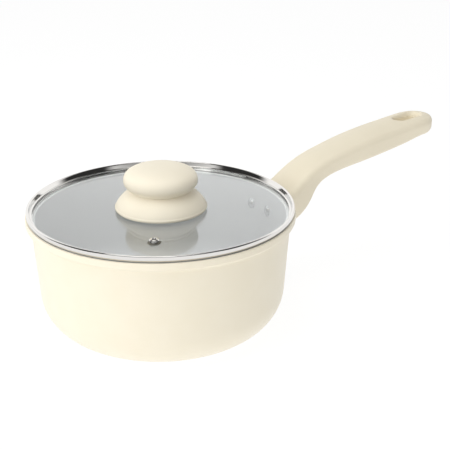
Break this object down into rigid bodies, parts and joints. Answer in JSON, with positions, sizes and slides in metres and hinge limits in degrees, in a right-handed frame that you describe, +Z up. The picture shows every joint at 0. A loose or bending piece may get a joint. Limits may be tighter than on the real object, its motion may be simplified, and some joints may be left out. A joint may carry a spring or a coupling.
{
  "type": "saucepan",
  "caption": "Small cream saucepan with a goose-neck moulded handle and hanging slot, and a flat steel-rimmed glass lid with a vent and a round knob that lifts off.",
  "frame": {"origin": "centre of the flat base, on the surface the pan stands on", "axes": "+Z up along the pan's axis, +X out along the handle, +Y to the left of someone holding the handle and facing the pan"},
  "size_m": [0.344, 0.1836, 0.1143],
  "materials": {
    "cream_coating": "cast aluminium, cream ceramic coating outside and light grey non-stick coating inside, satin",
    "base_steel": "ferritic stainless disc, spun finish",
    "stainless": "stainless steel, satin",
    "rivet_metal": "aluminium, grey coated",
    "cream_moulding": "heat-resistant moulding, cream, satin",
    "lid_glass": "tempered soda-lime glass, clear",
    "polished_steel": "stainless steel, polished",
    "silicone": "grey silicone",
    "brass": "turned brass"
  },
  "bodies": {
    "pan": {"pan_body": "cream_coating", "induction_plate": "base_steel", "handle_bracket": "stainless", "rivet_left": "rivet_metal", "rivet_right": "rivet_metal", "handle_grip": "cream_moulding", "handle_washer": "stainless", "handle_screw": "stainless"},
    "lid": {"lid_glass": "lid_glass", "lid_rim": "polished_steel", "vent_eyelet": "polished_steel", "vent_washer": "polished_steel", "knob_gasket_upper": "silicone", "knob_skirt": "cream_moulding", "knob_head": "cream_moulding", "knob_insert": "brass", "knob_gasket_lower": "silicone", "knob_washer": "stainless", "knob_spring_washer": "stainless", "knob_screw": "stainless"}
  },
  "joints": [
    {"name": "lid_lift", "type": "slide", "parent": "pan", "child": "lid", "axis": [0, 0, 1], "range_m": [0, 0.12]}
  ]
}
